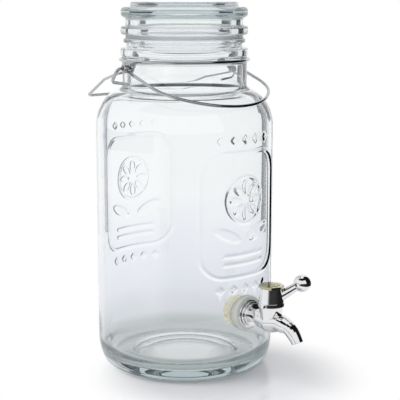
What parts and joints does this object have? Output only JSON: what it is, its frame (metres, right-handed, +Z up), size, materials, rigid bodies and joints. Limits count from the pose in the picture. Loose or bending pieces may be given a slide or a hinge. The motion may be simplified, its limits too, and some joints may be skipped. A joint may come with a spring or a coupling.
{
  "type": "beverage dispenser",
  "caption": "Clear glass drink dispenser jar with a gasketed glass lid, a steel wire bail closure and a chromed quarter-turn tap low on the front.",
  "frame": {"origin": "centre of the base, on the surface the jar stands on", "axes": "+Z up along the jar's axis, -Y the way the tap points, X from one wire ear to the other"},
  "size_m": [0.15, 0.2146, 0.3082],
  "materials": {
    "clear_glass": "clear pressed glass, polished",
    "clear_silicone": "translucent clear silicone",
    "steel_wire": "bright polished steel wire",
    "grey_silicone": "translucent pale grey silicone",
    "cream_silicone": "cream silicone",
    "cream_plastic": "cream moulded plastic",
    "chromed_plastic": "bright chrome plating",
    "white_plastic": "plain moulded plastic",
    "black_rubber": "soft black rubber",
    "screw_steel": "zinc-plated steel"
  },
  "bodies": {
    "jar": {"glass_jar": "clear_glass", "neck_band": "steel_wire", "ear_brackets": "steel_wire", "outer_washer": "grey_silicone", "inner_washer": "cream_silicone", "shank_nut": "cream_plastic", "tap_collar": "chromed_plastic", "tap_body": "chromed_plastic"},
    "lid": {"lid": "clear_glass", "lid_gasket": "clear_silicone"},
    "bail": {"carry_bail": "steel_wire"},
    "lever": {"clamp_lever": "steel_wire"},
    "handle": {"tap_handle": "chromed_plastic", "handle_ball": "chromed_plastic", "handle_cap": "chromed_plastic", "handle_screw": "screw_steel", "valve_plug": "white_plastic", "plug_orings": "black_rubber", "friction_washer": "white_plastic"}
  },
  "joints": [
    {"name": "lid_lift", "type": "slide", "parent": "jar", "child": "lid", "axis": [0, 0, 1], "range_m": [0, 0.12]},
    {"name": "bail_swing", "type": "hinge", "parent": "jar", "child": "bail", "pos_m": [0, 0, 0.25563], "axis": [-1, 0, 0], "range_deg": [0, 110.4]},
    {"name": "lever_swing", "type": "hinge", "parent": "jar", "child": "lever", "pos_m": [0, 0, 0.25563], "axis": [1, 0, 0], "range_deg": [0, 75]},
    {"name": "tap_turn", "type": "hinge", "parent": "jar", "child": "handle", "pos_m": [0, -0.105, 0.057], "axis": [0, 0, -1], "range_deg": [0, 90]}
  ]
}
